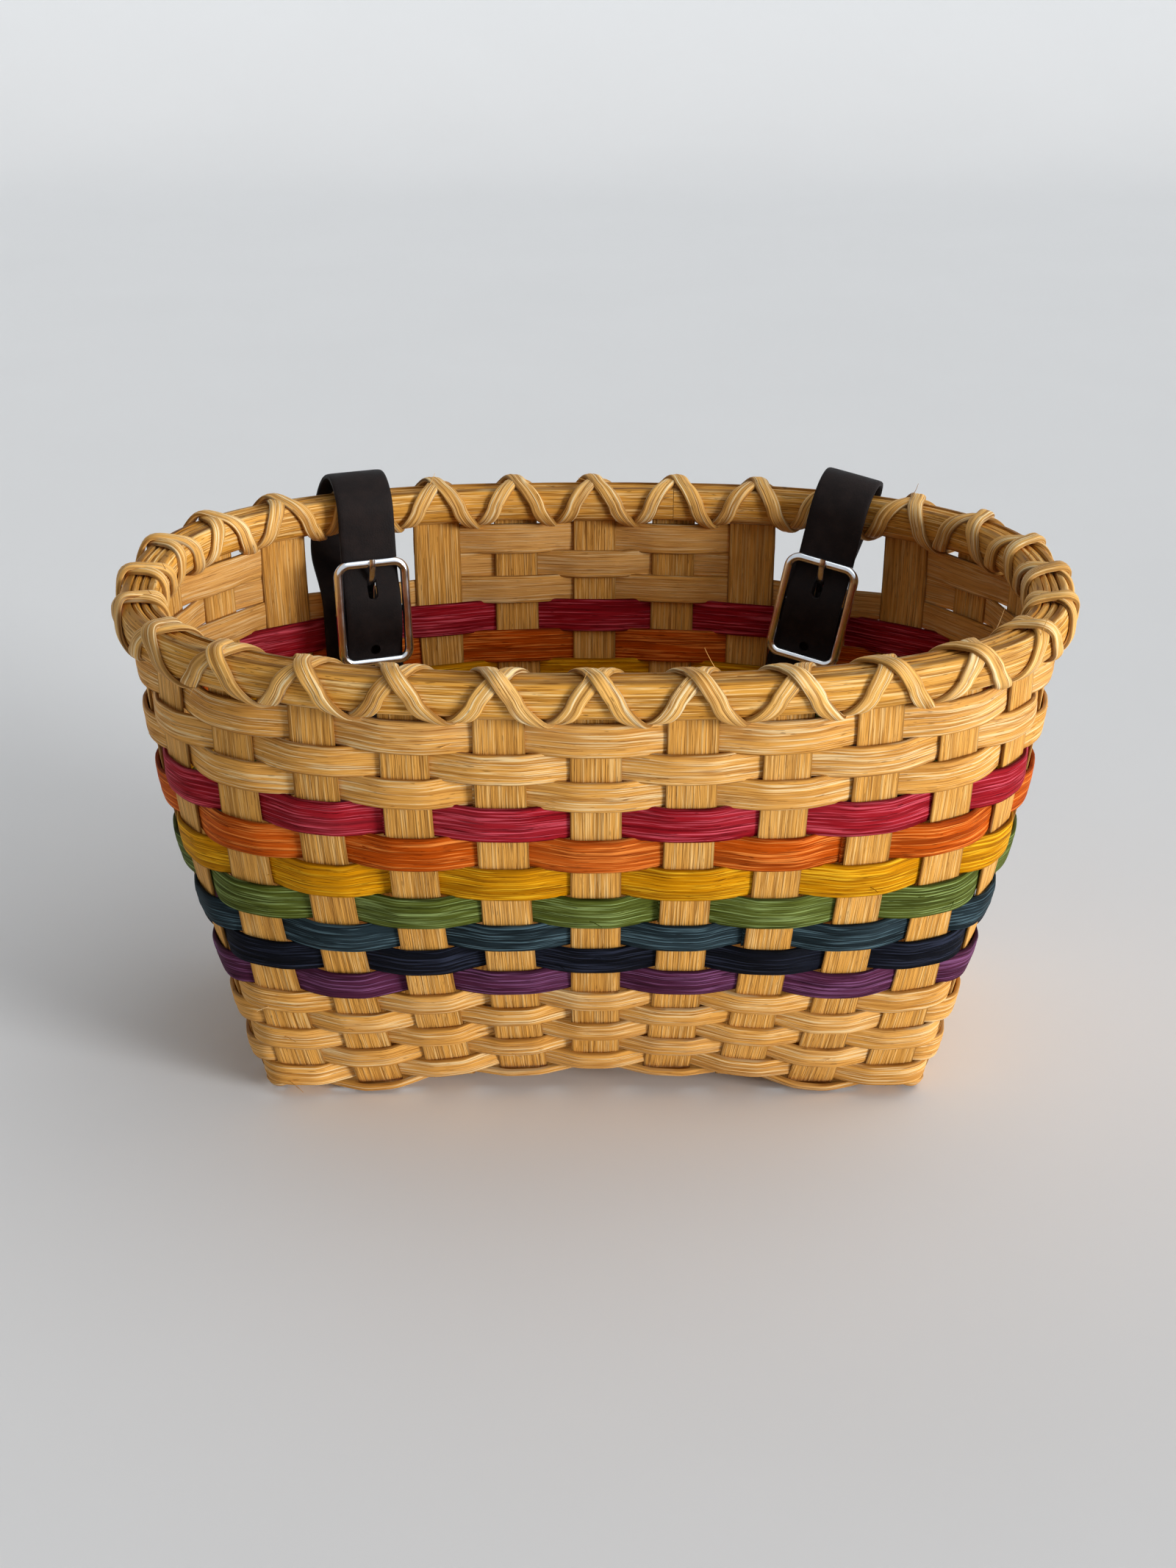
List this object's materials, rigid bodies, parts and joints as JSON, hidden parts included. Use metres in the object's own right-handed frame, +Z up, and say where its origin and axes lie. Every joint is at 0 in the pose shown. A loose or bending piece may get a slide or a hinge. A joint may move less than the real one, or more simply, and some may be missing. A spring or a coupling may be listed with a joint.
{
  "type": "bicycle basket",
  "caption": "Oval woven reed basket with a lashed half-round rim, a band of dyed rows and buckled leather straps through the back wall that hang it from a handlebar.",
  "frame": {"origin": "centre of the overall box at floor level, under the middle of the base", "axes": "+X along the basket, -Y the front, +Y the strap side that meets the handlebar, +Z up"},
  "size_m": [0.3862, 0.2626, 0.2146],
  "materials": {
    "natural_reed": "undyed flat reed, dry and slightly glossy",
    "purple_reed": "dyed reed with the grain showing through",
    "navy_reed": "dyed reed with the grain showing through",
    "blue_reed": "dyed reed with the grain showing through",
    "green_reed": "dyed reed with the grain showing through",
    "yellow_reed": "dyed reed with the grain showing through",
    "orange_reed": "dyed reed with the grain showing through",
    "red_reed": "dyed reed with the grain showing through",
    "rim_reed": "half-round reed, smooth",
    "lashing_reed": "thin flat reed",
    "black_leather": "finished, satin, raw brown edges",
    "bright_metal": "bright plated steel"
  },
  "bodies": {
    "basket": {"cross_stake_1": "natural_reed", "cross_stake_2": "natural_reed", "cross_stake_3": "natural_reed", "cross_stake_4": "natural_reed", "cross_stake_5": "natural_reed", "cross_stake_6": "natural_reed", "cross_stake_7": "natural_reed", "cross_stake_8": "natural_reed", "cross_stake_9": "natural_reed", "long_stake_1": "natural_reed", "long_stake_2": "natural_reed", "long_stake_3": "natural_reed", "long_stake_4": "natural_reed", "long_stake_5": "natural_reed", "natural_weaver_1": "natural_reed", "natural_weaver_2": "natural_reed", "natural_weaver_3": "natural_reed", "natural_weaver_4": "natural_reed", "natural_weaver_5": "natural_reed", "natural_weaver_6": "natural_reed", "purple_weaver": "purple_reed", "navy_weaver": "navy_reed", "blue_weaver": "blue_reed", "green_weaver": "green_reed", "yellow_weaver": "yellow_reed", "orange_weaver": "orange_reed", "red_weaver": "red_reed", "natural_weaver_7": "natural_reed", "natural_weaver_8_front": "natural_reed", "natural_weaver_8_back": "natural_reed", "natural_weaver_9_front": "natural_reed", "natural_weaver_9_back": "natural_reed", "rim_weaver": "natural_reed", "rim_outer": "rim_reed", "rim_inner": "rim_reed", "rim_filler": "rim_reed", "lashing_under": "lashing_reed", "lashing_over": "lashing_reed"},
    "left_strap": {"left_strap": "black_leather", "left_buckle": "bright_metal", "left_rivet": "bright_metal"},
    "left_tongue": {"left_tongue": "bright_metal"},
    "right_strap": {"right_strap": "black_leather", "right_buckle": "bright_metal", "right_rivet": "bright_metal"},
    "right_tongue": {"right_tongue": "bright_metal"}
  },
  "joints": [
    {"name": "left_strap_swing", "type": "hinge", "parent": "basket", "child": "left_strap", "pos_m": [-0.10513, 0.10638, 0.19595], "axis": [-0.9447, -0.3278, 0], "range_deg": [0, 45]},
    {"name": "left_tongue_lift", "type": "hinge", "parent": "left_strap", "child": "left_tongue", "pos_m": [-0.09872, 0.0879, 0.15518], "axis": [0.9447, 0.3278, 0], "range_deg": [0, 20]},
    {"name": "right_strap_swing", "type": "hinge", "parent": "basket", "child": "right_strap", "pos_m": [0.10513, 0.10638, 0.19595], "axis": [-0.9447, 0.3278, 0], "range_deg": [0, 45]},
    {"name": "right_tongue_lift", "type": "hinge", "parent": "right_strap", "child": "right_tongue", "pos_m": [0.09736, 0.08846, 0.15583], "axis": [0.9228, -0.3446, -0.1721], "range_deg": [0, 20]}
  ]
}
